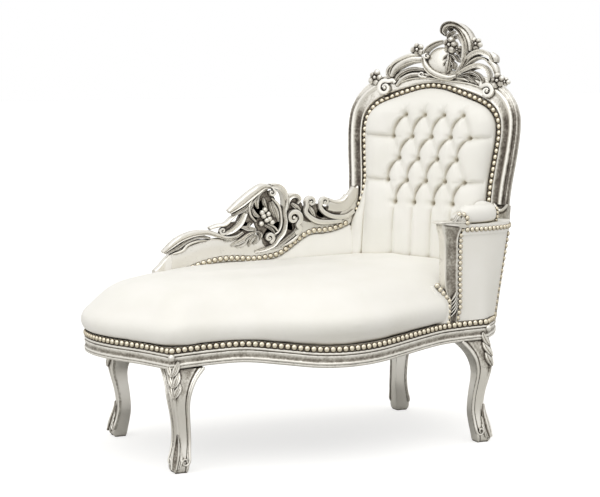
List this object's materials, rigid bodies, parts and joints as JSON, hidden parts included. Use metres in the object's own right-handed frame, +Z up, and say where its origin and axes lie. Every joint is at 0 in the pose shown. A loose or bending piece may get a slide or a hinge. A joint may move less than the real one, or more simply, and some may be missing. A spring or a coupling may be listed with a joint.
{
  "type": "chaise longue",
  "caption": "Carved silver-leaf chaise longue with off-white leather, tall tufted back at one end, low carved rear rail, one padded arm and nail trim",
  "frame": {"origin": "on the floor under the middle of the chaise's outline", "axes": "+X from the foot end to the head end along the length, +Y to the rear, +Z up"},
  "size_m": [1.3096, 0.7286, 1.2304],
  "materials": {
    "silver_leaf_wood": "silver leaf over carved wood with a dark patina in the recesses",
    "faux_leather": "off-white, smooth satin",
    "foam": "open-cell upholstery foam",
    "jute_webbing": "woven straps",
    "hessian": "coarse weave",
    "dust_cloth": "black thin cloth",
    "plain_wood": "unfinished hardwood",
    "steel": "plain zinc plated",
    "polished_nails": "polished pale champagne domes"
  },
  "bodies": {
    "root": {"arm_inner_pad": "faux_leather", "arm_nails": "polished_nails", "arm_outer_panel": "faux_leather", "arm_pad_cover": "faux_leather", "arm_pad_foam": "foam", "arm_post": "silver_leaf_wood", "arm_rail": "faux_leather", "back_cover": "faux_leather", "back_crest_rail": "silver_leaf_wood", "back_foam": "foam", "back_lower_rail": "plain_wood", "back_nails": "polished_nails", "back_outer_panel": "faux_leather", "back_stile_left": "silver_leaf_wood", "back_stile_right": "silver_leaf_wood", "back_webbing": "jute_webbing", "corner_block_screws": "steel", "corner_blocks": "plain_wood", "corner_outer_panel": "faux_leather", "crest_carving": "silver_leaf_wood", "dust_cloth": "dust_cloth", "foot_rail": "silver_leaf_wood", "front_rail": "silver_leaf_wood", "head_rail": "silver_leaf_wood", "leg_front_foot": "silver_leaf_wood", "leg_front_head": "silver_leaf_wood", "leg_rear_foot": "silver_leaf_wood", "leg_rear_head": "silver_leaf_wood", "low_back_cover": "faux_leather", "low_back_foam": "foam", "low_back_outer_panel": "faux_leather", "low_rail": "silver_leaf_wood", "low_rail_carving": "silver_leaf_wood", "low_rail_nails": "polished_nails", "rail_dowels": "plain_wood", "rear_rail": "silver_leaf_wood", "seat_cover": "faux_leather", "seat_foam": "foam", "seat_hessian": "hessian", "seat_nails": "polished_nails", "seat_webbing": "jute_webbing", "tuft_buttons": "faux_leather"}
  },
  "joints": []
}
